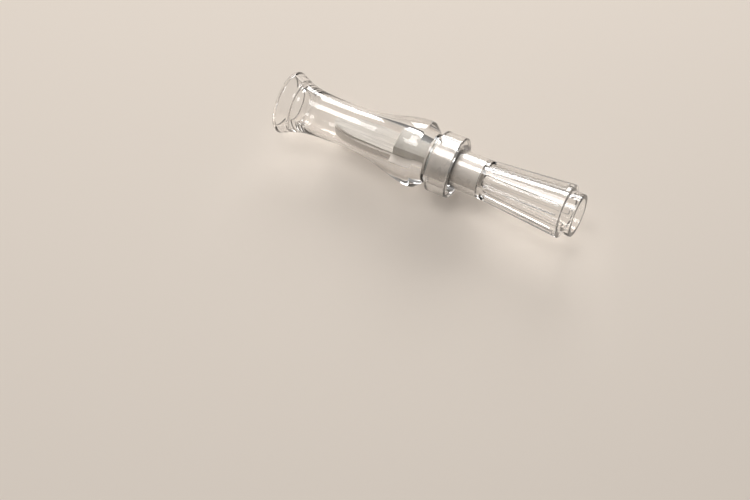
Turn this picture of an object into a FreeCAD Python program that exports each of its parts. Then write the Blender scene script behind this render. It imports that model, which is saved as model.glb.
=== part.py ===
"""A clear polycarbonate double-reed duck call, lying along X, mouth end at -X.

The air goes in at the barrel's flared mouth, over the reeds on the tone board, through the
board's sound bore and out of the fluted bell. Stations along the call are measured from the
mouth end, and the call lies on z = 0 on its widest ring. Sizes are in millimetres.
"""

import FreeCAD, Part
import math
import os

# Driving sizes along the call
BARREL_LENGTH = 83.0
BELL_LENGTH = 50.6
END_SPIGOT_LENGTH = 5.3
TOTAL_LENGTH = BARREL_LENGTH + BELL_LENGTH + END_SPIGOT_LENGTH

# Barrel
LIP_RADIUS = 14.0
LIP_ROUND = 2.0
LIP_TURN = math.radians(25)
LIP_INNER_RADIUS = 11.0
LIP_INNER_DEPTH = 1.0
LIP_INNER_SWELL = (0.2, 11.45)
NOSE_STATION = 10.0
NOSE_RADIUS = 11.0
WAIST_STATION = 21.0
WAIST_RADIUS = 9.6
SHOULDER_STATION = 47.0
SHOULDER_RADIUS = 11.2
BULGE_STATION = 65.5
BULGE_RADIUS = 15.0
CHAMFER_STATION = 66.7
CHAMFER_RADIUS = 14.7
GROOVE_START = 70.6
GROOVE_END = 73.2
GROOVE_RADIUS = 11.1
STUB_RADIUS = 10.6
BORE_RADIUS = 8.0
BOWL_DEPTH = 6.0
BOWL_THROAT_RADIUS = 9.2
BOWL_MIDDLE = (3.0, 9.7)

# Band pressed on the barrel's rear stub
BAND_RADIUS = 13.5
BAND_EDGE = 0.6

# Bell
NECK_RADIUS = 8.6
NECK_LENGTH = 12.0
BELL_EDGE = 0.5
BELL_MOUTH_RADIUS = 12.0
END_SPIGOT_RADIUS = 9.5
SOCKET_RADIUS = 6.5
SOCKET_DEPTH = 11.8
SOUND_RADIUS_IN = 4.5
SOUND_RADIUS_OUT = 7.5
FLUTE_COUNT = 6
FLUTE_FIRST = 39.0
FLUTE_WIDTH = 5.5
FLUTE_DEPTH = 1.3
FLUTE_CORNER = 1.2
FLUTE_FRONT_GAP = 2.0
FLUTE_REAR_GAP = 1.5
SHOULDER_GAP = 0.1

# Guts: tone board, tenon and rear spigot in one piece
BOARD_TIP = 24.2
NOTCH_FRONT = 56.0
NOTCH_REAR = 70.0
NOTCH_SHELF = -0.9
TENON_RADIUS = 7.95
SPIGOT_RADIUS = 6.47
SPIGOT_LENGTH = 11.6
GUTS_BORE_RADIUS = 4.0
BOARD_WIDTH = 12.0
BOARD_NOSE = 18.0
BOARD_KEEL = 7.3
BOARD_TOP = 0.6
KEEL_TIP_DEPTH = 6.6
KEEL_RISE_LENGTH = 3.5
KEEL_CLEARANCE = 0.1
LAY_ANGLE = math.radians(1.9)
TROUGH_WIDTH = 4.6
TROUGH_FRONT = 33.0
TROUGH_DEPTH = 3.6
BORE_LEAD_IN = 2.0

# Reeds and wedge
LOWER_REED_THICKNESS = 0.36
UPPER_REED_THICKNESS = 0.25
REED_WIDTH = 10.4
REED_NOSE = 14.0
REED_BUTT = 69.8
LOWER_REED_TIP = 24.6
UPPER_REED_TIP = 26.0
HINGE_STATION = 57.0
WEDGE_FRONT = 56.4
WEDGE_REAR = 69.8
WEDGE_WIDTH = 10.2
WEDGE_RADIUS = 7.8
WEDGE_RELIEF = 0.55
WEDGE_BEVEL_LENGTH = 1.2
WEDGE_BEVEL_HEIGHT = 2.2

# Seal, in a groove just behind the reeds' notch
RING_STATION = 71.9
RING_SECTION = 0.70
RING_OUTER = 7.97
RING_GROOVE_WIDTH = 1.8
RING_GROOVE_RADIUS = 6.55

# How far a cutter passes the surface it cuts, and pieces overlap before they are fused
OVERLAP = 1.0

AXIS_HEIGHT = BULGE_RADIUS
BACK = -TOTAL_LENGTH / 2
AXIS = FreeCAD.Vector(1, 0, 0)


def point(station, radius):
    """A point of a turned profile, above the call's axis."""
    return FreeCAD.Vector(BACK + station, 0, AXIS_HEIGHT + radius)


def line(a, b):
    return Part.LineSegment(point(*a), point(*b)).toShape()


def arc(a, middle, b):
    return Part.Arc(point(*a), point(*middle), point(*b)).toShape()


def turned(edges):
    """The closed profile turned all round the call's axis."""
    centre = FreeCAD.Vector(0, 0, AXIS_HEIGHT)
    return Part.Face(Part.Wire(edges)).revolve(centre, AXIS, 360)


def ring_of(corners):
    """A turned solid from a closed polygon of stations and radii."""
    return turned([line(a, b) for a, b in zip(corners, corners[1:] + corners[:1])])


def cylinder(start, end, radius):
    return Part.makeCylinder(radius, end - start, point(start, 0), AXIS)


def block(start, end, width, low, high):
    """A block centred on the axis, its heights measured from the axis."""
    corner = FreeCAD.Vector(BACK + start, -width / 2, AXIS_HEIGHT + low)
    return Part.makeBox(end - start, width, high - low, corner)


def save(shape, node):
    clean = shape.removeSplitter()
    solids = clean.Solids
    assert clean.isValid() and len(solids) == 1, node
    solids[0].exportStep(f"parts/{node}.step")
    box = clean.BoundBox
    print(f"{node}: {clean.Volume:.1f} mm3, x {box.XMin:.2f} to {box.XMax:.2f}")


def barrel_outline():
    """The barrel's outside, from the lip's crest over the waist and bulge to its flank."""
    lip_centre = LIP_RADIUS - LIP_ROUND
    turn_end = (
        LIP_ROUND + LIP_ROUND * math.sin(LIP_TURN),
        lip_centre + LIP_ROUND * math.cos(LIP_TURN),
    )
    crest = LIP_ROUND * math.sin(math.radians(45))
    lip = arc((0, lip_centre), (LIP_ROUND - crest, lip_centre + crest), turn_end)
    curve = Part.BSplineCurve()
    stations = [
        turn_end,
        (NOSE_STATION, NOSE_RADIUS),
        (WAIST_STATION, WAIST_RADIUS),
        (SHOULDER_STATION, SHOULDER_RADIUS),
        (BULGE_STATION, BULGE_RADIUS),
    ]
    start = FreeCAD.Vector(math.cos(LIP_TURN), 0, -math.sin(LIP_TURN))
    curve.interpolate([point(*s) for s in stations], InitialTangent=start, FinalTangent=AXIS)
    flank = line((BULGE_STATION, BULGE_RADIUS), (CHAMFER_STATION, CHAMFER_RADIUS))
    return [lip, curve.toShape(), flank]


def barrel():
    outer = barrel_outline()
    rest = [
        (CHAMFER_STATION, CHAMFER_RADIUS),
        (GROOVE_START, GROOVE_RADIUS),
        (GROOVE_END, GROOVE_RADIUS),
        (GROOVE_END, STUB_RADIUS),
        (BARREL_LENGTH, STUB_RADIUS),
        (BARREL_LENGTH, BORE_RADIUS),
        (BOWL_DEPTH, BORE_RADIUS),
        (BOWL_DEPTH, BOWL_THROAT_RADIUS),
    ]
    sides = [line(a, b) for a, b in zip(rest, rest[1:])]
    lip_inner = (LIP_INNER_DEPTH, LIP_INNER_RADIUS)
    bowl = arc(rest[-1], BOWL_MIDDLE, lip_inner)
    lip_inside = arc(lip_inner, LIP_INNER_SWELL, (0, LIP_RADIUS - LIP_ROUND))
    return turned(outer + sides + [bowl, lip_inside])


def barrel_band():
    start = GROOVE_END
    return ring_of(
        [
            (start, STUB_RADIUS),
            (start, BAND_RADIUS - BAND_EDGE),
            (start + BAND_EDGE, BAND_RADIUS),
            (BARREL_LENGTH - BAND_EDGE, BAND_RADIUS),
            (BARREL_LENGTH, BAND_RADIUS - BAND_EDGE),
            (BARREL_LENGTH, STUB_RADIUS),
        ]
    )


def flute(angle):
    """The cutter of one flute, angle degrees round from the top towards -Y, on the bell's slope."""
    start = BARREL_LENGTH + NECK_LENGTH + FLUTE_FRONT_GAP
    end = BARREL_LENGTH + BELL_LENGTH - FLUTE_REAR_GAP
    slope = (BELL_MOUTH_RADIUS - NECK_RADIUS) / (BELL_LENGTH - NECK_LENGTH)
    floor = NECK_RADIUS + slope * FLUTE_FRONT_GAP - FLUTE_DEPTH
    corner = FreeCAD.Vector(0, -FLUTE_WIDTH / 2, 0)
    slot = Part.makeBox(end - start, FLUTE_WIDTH, 3 * FLUTE_DEPTH, corner)
    upright = [e for e in slot.Edges if e.Vertexes[0].Z != e.Vertexes[1].Z]
    slot = slot.makeFillet(FLUTE_CORNER, upright)
    slot.rotate(FreeCAD.Vector(0, 0, 0), FreeCAD.Vector(0, 1, 0), -math.degrees(math.atan(slope)))
    slot.translate(point(start, floor))
    slot.rotate(point(0, 0), AXIS, angle)
    return slot


def bell():
    front = BARREL_LENGTH + SHOULDER_GAP
    neck_end = BARREL_LENGTH + NECK_LENGTH
    rear = BARREL_LENGTH + BELL_LENGTH
    socket_end = BARREL_LENGTH + SOCKET_DEPTH
    body = ring_of(
        [
            (front, SOCKET_RADIUS),
            (front, NECK_RADIUS - BELL_EDGE),
            (front + BELL_EDGE, NECK_RADIUS),
            (neck_end, NECK_RADIUS),
            (rear, BELL_MOUTH_RADIUS),
            (rear, END_SPIGOT_RADIUS),
            (TOTAL_LENGTH - BELL_EDGE, END_SPIGOT_RADIUS),
            (TOTAL_LENGTH, END_SPIGOT_RADIUS - BELL_EDGE),
            (TOTAL_LENGTH, SOUND_RADIUS_OUT),
            (socket_end, SOUND_RADIUS_IN),
            (socket_end, SOCKET_RADIUS),
        ]
    )
    step = 360 / FLUTE_COUNT
    return body.cut([flute(FLUTE_FIRST + step * i) for i in range(FLUTE_COUNT)])


def tongue(tip, end, width, nose, low, high):
    """A flat tongue with a half-elliptic nose, its heights measured from the axis."""
    half = width / 2
    centre = FreeCAD.Vector(BACK + tip + nose, 0, AXIS_HEIGHT + low)
    ellipse = Part.Ellipse(centre, nose, half)
    curve = Part.ArcOfEllipse(ellipse, math.pi / 2, 3 * math.pi / 2).toShape()
    rear = BACK + end
    corners = [
        FreeCAD.Vector(centre.x, -half, centre.z),
        FreeCAD.Vector(rear, -half, centre.z),
        FreeCAD.Vector(rear, half, centre.z),
        FreeCAD.Vector(centre.x, half, centre.z),
    ]
    sides = [Part.LineSegment(p, q).toShape() for p, q in zip(corners, corners[1:])]
    face = Part.Face(Part.Wire([curve] + sides))
    return face.extrude(FreeCAD.Vector(0, 0, high - low))


def board_blank():
    """The tongue before its top is cut: a round keel in the board's outline."""
    end = NOTCH_FRONT + OVERLAP
    keel = cylinder(BOARD_TIP, end, BOARD_KEEL)
    return keel.common(tongue(BOARD_TIP, end, BOARD_WIDTH, BOARD_NOSE, -BOARD_KEEL, BOARD_KEEL))


def side_prism(corners, width):
    """A prism across the call from stations and heights above the axis."""
    points = [FreeCAD.Vector(BACK + s, -width / 2, AXIS_HEIGHT + h) for s, h in corners]
    face = Part.Face(Part.makePolygon(points + points[:1]))
    return face.extrude(FreeCAD.Vector(0, width, 0))


def over_board(width):
    """What is cut away above the board: the lay falls to the tip, the notch is level."""
    front = BOARD_TIP - OVERLAP
    drop = (HINGE_STATION - front) * math.tan(LAY_ANGLE)
    return side_prism(
        [
            (front, BOARD_TOP - drop),
            (HINGE_STATION, BOARD_TOP),
            (NOTCH_REAR, BOARD_TOP),
            (NOTCH_REAR, width),
            (front, width),
        ],
        width,
    )


def keel_rise(width):
    """What is cut away under the tip, so that the keel rises to it."""
    front = BOARD_TIP - OVERLAP
    return side_prism(
        [
            (front, -KEEL_TIP_DEPTH),
            (BOARD_TIP + KEEL_RISE_LENGTH, -BOARD_KEEL - KEEL_CLEARANCE),
            (front, -BOARD_KEEL - KEEL_CLEARANCE),
        ],
        width,
    )


def trough(width):
    """The air's way: a round-ended trough in the board, then a tunnel under the notch's shelf."""
    floor = BOARD_TOP - TROUGH_DEPTH
    top = BOARD_TOP + OVERLAP
    bore_start = NOTCH_REAR - BORE_LEAD_IN
    end_centre = FreeCAD.Vector(BACK + TROUGH_FRONT, 0, AXIS_HEIGHT + floor)
    bore = cylinder(bore_start, BARREL_LENGTH + SPIGOT_LENGTH, GUTS_BORE_RADIUS)
    return [
        Part.makeCylinder(TROUGH_WIDTH / 2, top - floor, end_centre),
        block(TROUGH_FRONT, NOTCH_FRONT, TROUGH_WIDTH, floor, top),
        block(NOTCH_FRONT, NOTCH_REAR, TROUGH_WIDTH, floor, NOTCH_SHELF),
        bore.cut(block(bore_start, NOTCH_REAR, width, NOTCH_SHELF, width)),
    ]


def tone_board():
    tenon = cylinder(NOTCH_FRONT, BARREL_LENGTH, TENON_RADIUS)
    spigot = cylinder(BARREL_LENGTH, BARREL_LENGTH + SPIGOT_LENGTH, SPIGOT_RADIUS)
    guts = board_blank().fuse([tenon, spigot])
    width = 2 * TENON_RADIUS + OVERLAP
    return guts.cut([over_board(width), keel_rise(width), ring_groove()] + trough(width))


def ring_groove():
    front = RING_STATION - RING_GROOVE_WIDTH / 2
    rear = RING_STATION + RING_GROOVE_WIDTH / 2
    return ring_of(
        [
            (front, RING_GROOVE_RADIUS),
            (front, TENON_RADIUS + OVERLAP),
            (rear, TENON_RADIUS + OVERLAP),
            (rear, RING_GROOVE_RADIUS),
        ]
    )


def reed(tip, low, thickness):
    """A flat reed, low being its underside above the axis."""
    return tongue(tip, REED_BUTT, REED_WIDTH, REED_NOSE, low, low + thickness)


def lower_reed():
    return reed(LOWER_REED_TIP, BOARD_TOP, LOWER_REED_THICKNESS)


def upper_reed():
    return reed(UPPER_REED_TIP, BOARD_TOP + LOWER_REED_THICKNESS, UPPER_REED_THICKNESS)


def wedge_block():
    """The block that clamps the reeds. Its underside rises to the rear, so its front edge bites."""
    low = BOARD_TOP + LOWER_REED_THICKNESS + UPPER_REED_THICKNESS
    segment = cylinder(WEDGE_FRONT, WEDGE_REAR, WEDGE_RADIUS)
    sides = side_prism(
        [
            (WEDGE_FRONT, low),
            (HINGE_STATION, low),
            (WEDGE_REAR, low + WEDGE_RELIEF),
            (WEDGE_REAR, WEDGE_RADIUS),
            (WEDGE_FRONT + WEDGE_BEVEL_LENGTH, WEDGE_RADIUS),
            (WEDGE_FRONT, WEDGE_RADIUS - WEDGE_BEVEL_HEIGHT),
        ],
        WEDGE_WIDTH,
    )
    return segment.common(sides)


def tenon_o_ring():
    return Part.makeTorus(RING_OUTER - RING_SECTION, RING_SECTION, point(RING_STATION, 0), AXIS)


def main():
    os.makedirs("parts", exist_ok=True)
    save(barrel(), "barrel")
    save(barrel_band(), "barrel_band")
    save(bell(), "bell")
    save(tone_board(), "tone_board")
    save(lower_reed(), "lower_reed")
    save(upper_reed(), "upper_reed")
    save(wedge_block(), "wedge_block")
    save(tenon_o_ring(), "tenon_o_ring")


main()
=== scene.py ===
"""A clear polycarbonate duck call on a pale floor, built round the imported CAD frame.

Stations along the call are measured in millimetres from the mouth end, as in the CAD source,
and turned into the frame's metres by at(). The barrel, band, bell, reeds and O-ring are
smooth meshes that stand for their CAD nodes. The tone board and wedge are the CAD nodes.
"""

import math

import bmesh
import bpy
from mathutils import Matrix, Vector


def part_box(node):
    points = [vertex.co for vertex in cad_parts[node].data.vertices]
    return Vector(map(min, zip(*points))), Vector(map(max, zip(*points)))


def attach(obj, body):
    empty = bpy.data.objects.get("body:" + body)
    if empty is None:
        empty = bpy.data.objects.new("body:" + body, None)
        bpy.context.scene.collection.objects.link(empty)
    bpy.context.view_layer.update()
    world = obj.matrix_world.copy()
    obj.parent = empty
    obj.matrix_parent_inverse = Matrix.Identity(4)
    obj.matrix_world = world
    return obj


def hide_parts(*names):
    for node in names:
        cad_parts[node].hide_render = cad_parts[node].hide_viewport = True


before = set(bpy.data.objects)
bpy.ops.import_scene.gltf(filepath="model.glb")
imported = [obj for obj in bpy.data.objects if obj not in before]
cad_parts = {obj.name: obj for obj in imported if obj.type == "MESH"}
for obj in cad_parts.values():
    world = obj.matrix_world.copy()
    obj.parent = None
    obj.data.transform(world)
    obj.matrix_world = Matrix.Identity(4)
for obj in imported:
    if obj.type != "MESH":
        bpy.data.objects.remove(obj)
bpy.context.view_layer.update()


# The call's axis and ends, from the frame
BARREL_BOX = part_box("barrel")
MOUTH_X = BARREL_BOX[0][0]
AXIS_Z = (BARREL_BOX[0][2] + BARREL_BOX[1][2]) / 2
MM = 0.001

# Barrel, in millimetres
BARREL_LENGTH = 83.0
LIP_RADIUS = 14.0
LIP_ROUND = 2.0
LIP_TURN = 25.0
LIP_START_ANGLE = 205.0
LIP_INNER = (1.2, 11.0)
NOSE = (10.0, 11.0)
WAIST = (21.0, 9.6)
SHOULDER = (47.0, 11.2)
BULGE = (65.5, 15.0)
CHAMFER = (66.7, 14.75)
BOWL_DEPTH = 6.0
BOWL_THROAT_RADIUS = 9.2
BOWL_WALL = (5.0, 9.35)
BORE_RADIUS = 8.0
STUB_RADIUS = 10.6
STUB_STEP = 0.1
GROOVE_RADIUS = 11.1
GROOVE_START = 70.6
GROOVE_END = 73.2
BAND_RADIUS = 13.5
BAND_ROUND = 0.7

# Bell, in millimetres
NECK_RADIUS = 8.6
NECK_END = 95.0
BELL_START = 83.1
BELL_END = 133.6
BELL_MOUTH_RADIUS = 12.0
CALL_END = 138.9
SOCKET_END = 94.8
SOCKET_RADIUS = 6.5
SOUND_RADIUS_IN = 4.5
SOUND_RADIUS_OUT = 7.5
END_SPIGOT_RADIUS = 9.5
FLUTE_COUNT = 6
FLUTE_FIRST = 39.0
FLUTE_HALF_WIDTH = 2.75
FLUTE_DEPTH = 1.3
FLUTE_CORNER = 1.2
FLUTE_WALL = 0.22
FLUTE_START = 97.0
FLUTE_END = 132.1
BETWEEN_FLUTES = 10.0

# Length of the reeds' elliptic nose, in millimetres
REED_NOSE = 14.0

# Camera: degrees, metres and, for the lens, millimetres
VIEW_AZIMUTH = 28.8
VIEW_ELEVATION = 55.3
VIEW_ROLL = 2.0
VIEW_DISTANCE = 0.925
VIEW_SHIFT_RIGHT = 0.0352
VIEW_SHIFT_UP = 0.0346
LENS_MM = 104.6


def at(station, radius, angle):
    """A point of a turned surface. The angle runs from the top towards -Y."""
    y = -radius * math.sin(angle)
    z = radius * math.cos(angle)
    return Vector((MOUTH_X + station * MM, y * MM, AXIS_Z + z * MM))


# ---------------------------------------------------------------- mesh helpers


def new_object(name, mesh):
    obj = bpy.data.objects.new(name, mesh)
    bpy.context.scene.collection.objects.link(obj)
    return obj


def finish_mesh(name, bm, sharp=40.0):
    """Makes an object with outward normals, smooth faces and edges sharp past an angle."""
    bmesh.ops.remove_doubles(bm, verts=bm.verts, dist=1e-7)
    bmesh.ops.recalc_face_normals(bm, faces=bm.faces)
    mesh = bpy.data.meshes.new(name)
    bm.to_mesh(mesh)
    bm.free()
    mesh.shade_smooth()
    mesh.set_sharp_from_angle(angle=math.radians(sharp))
    obj = new_object(name, mesh)
    weighted = obj.modifiers.new("even_normals", "WEIGHTED_NORMAL")
    weighted.keep_sharp = True
    return obj


def rounded(corners, steps=5):
    """A closed outline whose corners (station, radius, rounding) are arcs."""
    points = []
    count = len(corners)
    for i, (x, r, rounding) in enumerate(corners):
        here = Vector((x, r))
        before = Vector(corners[i - 1][:2]) - here
        after = Vector(corners[(i + 1) % count][:2]) - here
        if rounding == 0:
            points.append(here)
            continue
        a = before.normalized()
        b = after.normalized()
        half = a.angle(b) / 2
        reach = min(rounding / math.tan(half), 0.45 * before.length, 0.45 * after.length)
        radius = reach * math.tan(half)
        centre = here + (a + b).normalized() * (radius / math.sin(half))
        start = here + a * reach - centre
        end = here + b * reach - centre
        turn = start.angle_signed(end)
        for k in range(steps + 1):
            points.append(centre + Matrix.Rotation(-turn * k / steps, 2) @ start)
    return points


def turned(name, outline, segments=192):
    """Turns a closed outline of (station, radius) all round the axis."""
    bm = bmesh.new()
    rings = []
    for k in range(segments):
        angle = 2 * math.pi * k / segments
        rings.append([bm.verts.new(at(p[0], p[1], angle)) for p in outline])
    bridge(bm, rings)
    return finish_mesh(name, bm)


def bridge(bm, rings):
    """Faces between closed rings of vertices, each joined to the next all the way round."""
    count = len(rings[0])
    for k, ring in enumerate(rings):
        other = rings[(k + 1) % len(rings)]
        for i in range(count):
            j = (i + 1) % count
            bm.faces.new((ring[i], ring[j], other[j], other[i]))


def clamped_spline(knots, start_slope, end_slope, step):
    """Points of a smooth curve through knots, with a given slope at each end."""
    n = len(knots)
    xs = [k[0] for k in knots]
    ys = [k[1] for k in knots]
    slopes = [start_slope] + [0.0] * (n - 2) + [end_slope]
    for _ in range(60):
        for i in range(1, n - 1):
            left = xs[i] - xs[i - 1]
            right = xs[i + 1] - xs[i]
            rise = (ys[i] - ys[i - 1]) / left ** 2 + (ys[i + 1] - ys[i]) / right ** 2
            ends = slopes[i - 1] / left + slopes[i + 1] / right
            slopes[i] = (3 * rise - ends) / (2 / left + 2 / right)
    points = []
    for i in range(n - 1):
        width = xs[i + 1] - xs[i]
        count = max(2, round(width / step))
        for k in range(count):
            t = k / count
            h00 = 2 * t ** 3 - 3 * t ** 2 + 1
            h10 = t ** 3 - 2 * t ** 2 + t
            h01 = -2 * t ** 3 + 3 * t ** 2
            h11 = t ** 3 - t ** 2
            y = h00 * ys[i] + h10 * width * slopes[i]
            y += h01 * ys[i + 1] + h11 * width * slopes[i + 1]
            points.append(Vector((xs[i] + t * width, y)))
    points.append(Vector(knots[-1]))
    return points


def arc_points(centre, radius, first, last, steps):
    """Points of an arc, its angles measured from the axis direction, in degrees."""
    points = []
    for k in range(steps + 1):
        angle = math.radians(first + (last - first) * k / steps)
        turn = Vector((math.cos(angle), math.sin(angle)))
        points.append(Vector(centre) + radius * turn)
    return points


# ---------------------------------------------------------------- pieces


def make_barrel():
    lip_centre = (LIP_ROUND, LIP_RADIUS - LIP_ROUND)
    lip = arc_points(lip_centre, LIP_ROUND, LIP_START_ANGLE, 90 - LIP_TURN, 14)
    lip_slope = -math.tan(math.radians(LIP_TURN))
    knots = [tuple(lip[-1]), NOSE, WAIST, SHOULDER, BULGE]
    hourglass = clamped_spline(knots, lip_slope, 0.0, 1.0)
    tail = rounded(
        [
            (*BULGE, 0),
            (*CHAMFER, 1.2),
            (GROOVE_START, GROOVE_RADIUS, 0.5),
            (GROOVE_END, GROOVE_RADIUS, 0.3),
            (GROOVE_END + STUB_STEP, STUB_RADIUS, 0.05),
            (BARREL_LENGTH, STUB_RADIUS, 0.12),
            (BARREL_LENGTH, BORE_RADIUS, 0.12),
            (BOWL_DEPTH, BORE_RADIUS, 0.35),
            (BOWL_DEPTH, BOWL_THROAT_RADIUS, 0.3),
            (*BOWL_WALL, 0.6),
            (*LIP_INNER, 0.4),
            (*lip[0], 0),
        ]
    )
    return turned("barrel_shell", lip + hourglass[1:] + tail[1:-1])


def make_band():
    corners = [
        (GROOVE_END, STUB_RADIUS, 0.2),
        (GROOVE_END, BAND_RADIUS, BAND_ROUND),
        (BARREL_LENGTH, BAND_RADIUS, BAND_ROUND),
        (BARREL_LENGTH, STUB_RADIUS, 0.2),
    ]
    return turned("band_ring", rounded(corners, 8))


def cone_radius(station):
    """The bell's radius, its cone running from the neck's end to the bell's end."""
    slope = (BELL_MOUTH_RADIUS - NECK_RADIUS) / (BELL_END - NECK_END)
    return NECK_RADIUS + slope * min(max(station - NECK_END, 0), BELL_END - NECK_END)


def flute_mask(station, across):
    """How deep a flute is at a place, from 0 on the bell's cone to 1 on the flute's floor."""
    middle = (FLUTE_START + FLUTE_END) / 2
    along = abs(station - middle) - (FLUTE_END - FLUTE_START) / 2 + FLUTE_CORNER
    side = abs(across) - FLUTE_HALF_WIDTH + FLUTE_CORNER
    outside = math.hypot(max(along, 0), max(side, 0))
    distance = outside + min(max(along, side), 0) - FLUTE_CORNER
    depth = min(max(-distance / FLUTE_WALL, 0), 1)
    return depth * depth * (3 - 2 * depth)


def flute_stations():
    """Stations of the cone, close together where a flute's end walls and corners are."""
    inset = 3.0
    near = [0, 0.08, 0.16, 0.24, 0.32, 0.4, 0.48, 0.7, 0.95, 1.2, 1.6, inset]
    step = (FLUTE_END - FLUTE_START - 2 * inset) / 14
    middle = [FLUTE_START + inset + step * k for k in range(1, 14)]
    ends = [FLUTE_START + d for d in near] + middle + [FLUTE_END - d for d in reversed(near)]
    return [NECK_END + 1.0, NECK_END + 1.6] + ends + [FLUTE_END + 0.5]


def bell_angles(station):
    """Angles round the bell, each with its distance across its flute, packed at the walls."""
    radius = cone_radius(station)
    inside = [0.8, 1.3, 1.55, 1.75, 1.95, 2.1, 2.2, 2.3, 2.38, 2.46, 2.54, 2.62, 2.7, 2.78, 2.95]
    sector = 2 * math.pi / FLUTE_COUNT
    edge = inside[-1] / radius
    half = [(w / radius, w) for w in inside]
    half += [(edge + (sector / 2 - edge) * f, BETWEEN_FLUTES) for f in (0.25, 0.5, 0.75)]
    last = [(sector / 2, BETWEEN_FLUTES)]
    row = [(-a, -w) for a, w in reversed(half)] + [(0.0, 0.0)] + half + last
    first = math.radians(FLUTE_FIRST)
    return [(first + sector * k + a, w) for k in range(FLUTE_COUNT) for a, w in row]


def make_bell():
    """The bell, its flutes flat-floored and sunk into the cone's own mesh."""
    cone = [Vector((s, cone_radius(s))) for s in flute_stations()]
    front = rounded(
        [
            (SOCKET_END, SOCKET_RADIUS, 0.3),
            (BELL_START, SOCKET_RADIUS, 0.15),
            (BELL_START, NECK_RADIUS, 0.25),
            (NECK_END, NECK_RADIUS, 0.4),
            (*cone[0], 0),
        ]
    )[:-1]
    rear = rounded(
        [
            (*cone[-1], 0),
            (BELL_END, BELL_MOUTH_RADIUS, 0.25),
            (BELL_END, END_SPIGOT_RADIUS, 0.3),
            (CALL_END, END_SPIGOT_RADIUS, 0.5),
            (CALL_END, SOUND_RADIUS_OUT, 0.3),
            (SOCKET_END, SOUND_RADIUS_IN, 0.3),
            (SOCKET_END, SOCKET_RADIUS, 0),
        ]
    )[1:-1]
    outline = front + cone + rear
    bm = bmesh.new()
    columns = []
    for p in outline:
        station, radius = p
        column = []
        on_cone = p in cone
        for angle, across in bell_angles(station):
            mask = flute_mask(station, across) if on_cone else 0.0
            floor = (radius - FLUTE_DEPTH) / math.cos(across / radius) if mask else radius
            depth = (radius - floor) * mask
            column.append(bm.verts.new(at(station, radius - depth, angle)))
        columns.append(column)
    bridge(bm, columns)
    return finish_mesh("bell_shell", bm)


def make_reed(name, node):
    """A thin strip with a half-elliptic nose and eased edges, in its node's box."""
    steps = 48
    low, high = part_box(node)
    half = (high[1] - low[1]) / 2
    thick = high[2] - low[2]
    nose = low[0] + REED_NOSE * MM
    outline = []
    for k in range(steps + 1):
        angle = math.pi / 2 + math.pi * k / steps
        outline.append((nose + REED_NOSE * MM * math.cos(angle), half * math.sin(angle)))
    outline += [(high[0], -half), (high[0], half)]
    bm = bmesh.new()
    face = bm.faces.new([bm.verts.new((x, y, low[2])) for x, y in outline])
    raised = bmesh.ops.extrude_face_region(bm, geom=[face])
    tops = [v for v in raised["geom"] if isinstance(v, bmesh.types.BMVert)]
    bmesh.ops.translate(bm, verts=tops, vec=(0, 0, thick))
    rims = [e for e in bm.edges if abs(e.verts[0].co.z - e.verts[1].co.z) < 1e-6]
    bmesh.ops.bevel(bm, geom=rims, offset=thick * 0.2, segments=2, affect="EDGES")
    return finish_mesh(name, bm)


def make_ring(name, node):
    """A silicone ring of round section, from its node's box."""
    low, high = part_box(node)
    section = (high[0] - low[0]) / 2
    outer = (high[2] - low[2]) / 2
    station = ((low[0] + high[0]) / 2 - MOUTH_X) / MM
    loop = arc_points((station, outer / MM - section / MM), section / MM, 0, 345, 23)
    return turned(name, loop, 128)


# ---------------------------------------------------------------- materials


def material(name):
    mat = bpy.data.materials.new(name)
    mat.use_nodes = True
    tree = mat.node_tree
    shader = tree.nodes["Principled BSDF"]
    return mat, tree, shader


def object_noise(tree, scale, detail=3.0):
    place = tree.nodes.new("ShaderNodeTexCoord")
    noise = tree.nodes.new("ShaderNodeTexNoise")
    noise.inputs["Scale"].default_value = scale
    noise.inputs["Detail"].default_value = detail
    tree.links.new(place.outputs["Object"], noise.inputs["Vector"])
    return noise.outputs["Fac"]


def spread(tree, value, low, high):
    """A noise value spread between two numbers."""
    ramp = tree.nodes.new("ShaderNodeMapRange")
    ramp.inputs["From Min"].default_value = 0.3
    ramp.inputs["From Max"].default_value = 0.7
    ramp.inputs["To Min"].default_value = low
    ramp.inputs["To Max"].default_value = high
    tree.links.new(value, ramp.inputs["Value"])
    return ramp.outputs["Result"]


def bump(tree, shader, height, strength, distance):
    node = tree.nodes.new("ShaderNodeBump")
    node.inputs["Strength"].default_value = strength
    node.inputs["Distance"].default_value = distance
    tree.links.new(height, node.inputs["Height"])
    tree.links.new(node.outputs["Normal"], shader.inputs["Normal"])


def let_lamps_through(tree, shader, share):
    """Lets a share of the lamps' light pass straight through, as clear plastic does."""
    clear = tree.nodes.new("ShaderNodeBsdfTransparent")
    path = tree.nodes.new("ShaderNodeLightPath")
    part = tree.nodes.new("ShaderNodeMath")
    part.operation = "MULTIPLY"
    part.inputs[1].default_value = share
    mix = tree.nodes.new("ShaderNodeMixShader")
    tree.links.new(path.outputs["Is Shadow Ray"], part.inputs[0])
    tree.links.new(part.outputs[0], mix.inputs["Fac"])
    tree.links.new(shader.outputs[0], mix.inputs[1])
    tree.links.new(clear.outputs[0], mix.inputs[2])
    tree.links.new(mix.outputs[0], tree.nodes["Material Output"].inputs["Surface"])


def clear_plastic():
    """Polished polycarbonate: water-clear, with the faint waviness of a moulding."""
    mat, tree, shader = material("clear_polycarbonate")
    shader.inputs["Base Color"].default_value = (0.972, 0.964, 0.956, 1)
    shader.inputs["Transmission Weight"].default_value = 1.0
    shader.inputs["IOR"].default_value = 1.585
    smear = object_noise(tree, 220.0, 4.0)
    tree.links.new(spread(tree, smear, 0.01, 0.04), shader.inputs["Roughness"])
    bump(tree, shader, object_noise(tree, 60.0, 2.0), 0.05, 0.0004)
    let_lamps_through(tree, shader, 0.76)
    return mat


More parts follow.
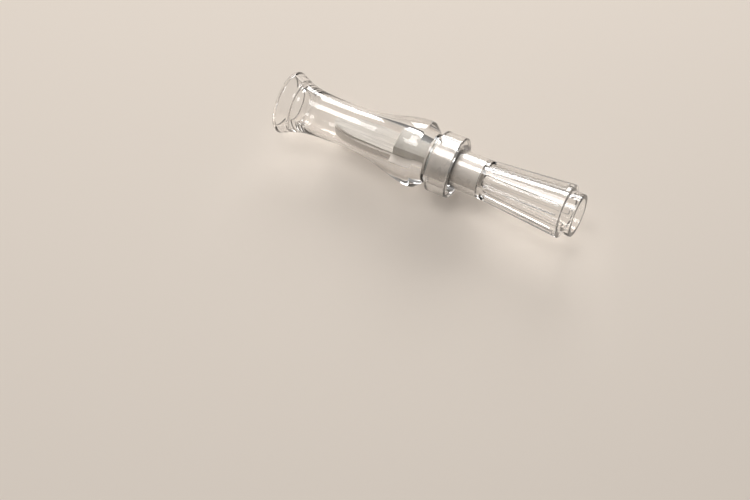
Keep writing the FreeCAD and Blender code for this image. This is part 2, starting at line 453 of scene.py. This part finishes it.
def frosted_plastic():
    """The guts: translucent grey-beige polycarbonate with a fine frost."""
    mat, tree, shader = material("frosted_polycarbonate")
    tint = tree.nodes.new("ShaderNodeValToRGB")
    tint.color_ramp.elements[0].color = (0.80, 0.725, 0.645, 1)
    tint.color_ramp.elements[1].color = (0.87, 0.80, 0.72, 1)
    tree.links.new(object_noise(tree, 60.0, 2.0), tint.inputs["Fac"])
    tree.links.new(tint.outputs["Color"], shader.inputs["Base Color"])
    shader.inputs["Transmission Weight"].default_value = 0.12
    shader.inputs["IOR"].default_value = 1.5
    frost = object_noise(tree, 150.0, 2.0)
    tree.links.new(spread(tree, frost, 0.25, 0.36), shader.inputs["Roughness"])
    bump(tree, shader, object_noise(tree, 300.0, 2.0), 0.08, 0.0001)
    let_lamps_through(tree, shader, 0.3)
    return mat


def reed_film():
    """Satin polyester film, milky at a glance, with fine draw lines along it."""
    mat, tree, shader = material("reed_film")
    place = tree.nodes.new("ShaderNodeTexCoord")
    squeeze = tree.nodes.new("ShaderNodeMapping")
    squeeze.inputs["Scale"].default_value = (40.0, 900.0, 40.0)
    noise = tree.nodes.new("ShaderNodeTexNoise")
    noise.inputs["Scale"].default_value = 1.0
    noise.inputs["Detail"].default_value = 3.0
    tree.links.new(place.outputs["Object"], squeeze.inputs["Vector"])
    tree.links.new(squeeze.outputs["Vector"], noise.inputs["Vector"])
    lines = noise.outputs["Fac"]
    tint = tree.nodes.new("ShaderNodeValToRGB")
    tint.color_ramp.elements[0].color = (0.71, 0.655, 0.585, 1)
    tint.color_ramp.elements[1].color = (0.75, 0.695, 0.625, 1)
    tree.links.new(lines, tint.inputs["Fac"])
    tree.links.new(tint.outputs["Color"], shader.inputs["Base Color"])
    shader.inputs["Transmission Weight"].default_value = 0.15
    shader.inputs["IOR"].default_value = 1.6
    tree.links.new(spread(tree, lines, 0.2, 0.35), shader.inputs["Roughness"])
    bump(tree, shader, lines, 0.05, 0.00001)
    let_lamps_through(tree, shader, 0.5)
    return mat


def rubber(name, dark, light, grain):
    """Soft rubber or silicone: a matt skin with fine grain."""
    mat, tree, shader = material(name)
    noise = object_noise(tree, grain, 5.0)
    tint = tree.nodes.new("ShaderNodeValToRGB")
    tint.color_ramp.elements[0].position = 0.3
    tint.color_ramp.elements[0].color = (*dark, 1)
    tint.color_ramp.elements[1].position = 0.7
    tint.color_ramp.elements[1].color = (*light, 1)
    tree.links.new(noise, tint.inputs["Fac"])
    tree.links.new(tint.outputs["Color"], shader.inputs["Base Color"])
    shader.inputs["Transmission Weight"].default_value = 0.3
    tree.links.new(spread(tree, noise, 0.45, 0.65), shader.inputs["Roughness"])
    bump(tree, shader, noise, 0.3, 0.0001)
    return mat


def clear_silicone():
    """Hazy clear silicone rubber."""
    mat, tree, shader = material("clear_silicone")
    shader.inputs["Base Color"].default_value = (0.88, 0.88, 0.85, 1)
    shader.inputs["Transmission Weight"].default_value = 0.8
    shader.inputs["IOR"].default_value = 1.41
    haze = object_noise(tree, 1500.0)
    tree.links.new(spread(tree, haze, 0.2, 0.35), shader.inputs["Roughness"])
    bump(tree, shader, object_noise(tree, 3000.0), 0.15, 0.00005)
    let_lamps_through(tree, shader, 0.6)
    return mat


def paint(obj, mat):
    obj.data.materials.clear()
    obj.data.materials.append(mat)


# ---------------------------------------------------------------- build

clear = clear_plastic()
frosted = frosted_plastic()
film = reed_film()
wedge_skin = rubber("wedge_rubber", (0.74, 0.69, 0.61), (0.83, 0.78, 0.71), 900.0)
silicone = clear_silicone()

pieces = [
    (make_barrel(), "barrel", "barrel", clear, "clear_polycarbonate"),
    (make_band(), "barrel_band", "barrel", clear, "clear_polycarbonate"),
    (make_bell(), "bell", "bell", clear, "clear_polycarbonate"),
    (make_reed("reed_lower", "lower_reed"), "lower_reed", "lower_reed", film, "reed_film"),
    (make_reed("reed_upper", "upper_reed"), "upper_reed", "upper_reed", film, "reed_film"),
    (make_ring("seal_ring", "tenon_o_ring"), "tenon_o_ring", "seal", silicone, "seal_rubber"),
]

for piece, node, body, mat, slot in pieces:
    paint(piece, mat)
    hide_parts(node)
    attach(piece, body)

for node, mat in (("tone_board", frosted), ("wedge_block", wedge_skin)):
    obj = bpy.data.objects[node]
    for slot in obj.material_slots:
        slot.material = mat


# ---------------------------------------------------------------- floor, lights, camera


def make_floor():
    bm = bmesh.new()
    bmesh.ops.create_grid(bm, x_segments=1, y_segments=1, size=3.0)
    mesh = bpy.data.meshes.new("floor")
    bm.to_mesh(mesh)
    bm.free()
    floor = new_object("floor", mesh)
    mat, _, shader = material("floor_paper")
    shader.inputs["Base Color"].default_value = (0.82, 0.73, 0.64, 1)
    shader.inputs["Roughness"].default_value = 0.9
    paint(floor, mat)


def softbox(name, place, target, width, depth, power):
    data = bpy.data.lights.new(name, "AREA")
    data.shape = "RECTANGLE"
    data.size = width
    data.size_y = depth
    data.energy = power
    lamp = bpy.data.objects.new(name, data)
    bpy.context.scene.collection.objects.link(lamp)
    lamp.location = place
    lamp.rotation_euler = (Vector(target) - Vector(place)).to_track_quat("-Z", "Y").to_euler()


def make_lights():
    """A tall softbox behind the call, a soft one overhead and a dome that darkens to its rim."""
    softbox("back_softbox", (-0.29, 1.0, 0.5), (0, 0, 0.05), 0.6, 0.45, 7.5)
    softbox("top_softbox", (-0.31, 0.03, 1.1), (0, 0, 0), 0.45, 0.5, 4.6)
    world = bpy.data.worlds.new("studio")
    world.use_nodes = True
    tree = world.node_tree
    place = tree.nodes.new("ShaderNodeTexCoord")
    split = tree.nodes.new("ShaderNodeSeparateXYZ")
    ramp = tree.nodes.new("ShaderNodeValToRGB")
    ramp.color_ramp.elements[0].position = 0.02
    ramp.color_ramp.elements[0].color = (0.42, 0.40, 0.38, 1)
    ramp.color_ramp.elements[1].position = 0.55
    ramp.color_ramp.elements[1].color = (1.0, 1.0, 1.0, 1)
    tree.links.new(place.outputs["Generated"], split.inputs[0])
    tree.links.new(split.outputs["Z"], ramp.inputs["Fac"])
    tree.links.new(ramp.outputs["Color"], tree.nodes["Background"].inputs["Color"])
    tree.nodes["Background"].inputs["Strength"].default_value = 0.32
    bpy.context.scene.world = world
    bpy.context.scene.view_settings.view_transform = "Standard"


def make_camera():
    """A long lens from above the call's front, aimed so that the call sits above the middle."""
    azimuth = math.radians(VIEW_AZIMUTH)
    elevation = math.radians(VIEW_ELEVATION)
    forward = Vector(
        (
            -math.sin(azimuth) * math.cos(elevation),
            math.cos(azimuth) * math.cos(elevation),
            -math.sin(elevation),
        )
    )
    right = forward.cross(Vector((0, 0, 1))).normalized()
    up = right.cross(forward)
    turn = Matrix.Rotation(math.radians(VIEW_ROLL), 3, forward)
    right = turn @ right
    up = turn @ up
    aim = at(BARREL_LENGTH, 0, 0)
    place = aim - VIEW_SHIFT_RIGHT * right - VIEW_SHIFT_UP * up - VIEW_DISTANCE * forward
    data = bpy.data.cameras.new("camera")
    data.lens = LENS_MM
    data.sensor_width = 36.0
    camera = bpy.data.objects.new("camera", data)
    bpy.context.scene.collection.objects.link(camera)
    axes = Matrix((right, up, -forward)).transposed().to_4x4()
    camera.matrix_world = Matrix.Translation(place) @ axes
    bpy.context.scene.camera = camera


make_floor()
make_lights()
make_camera()
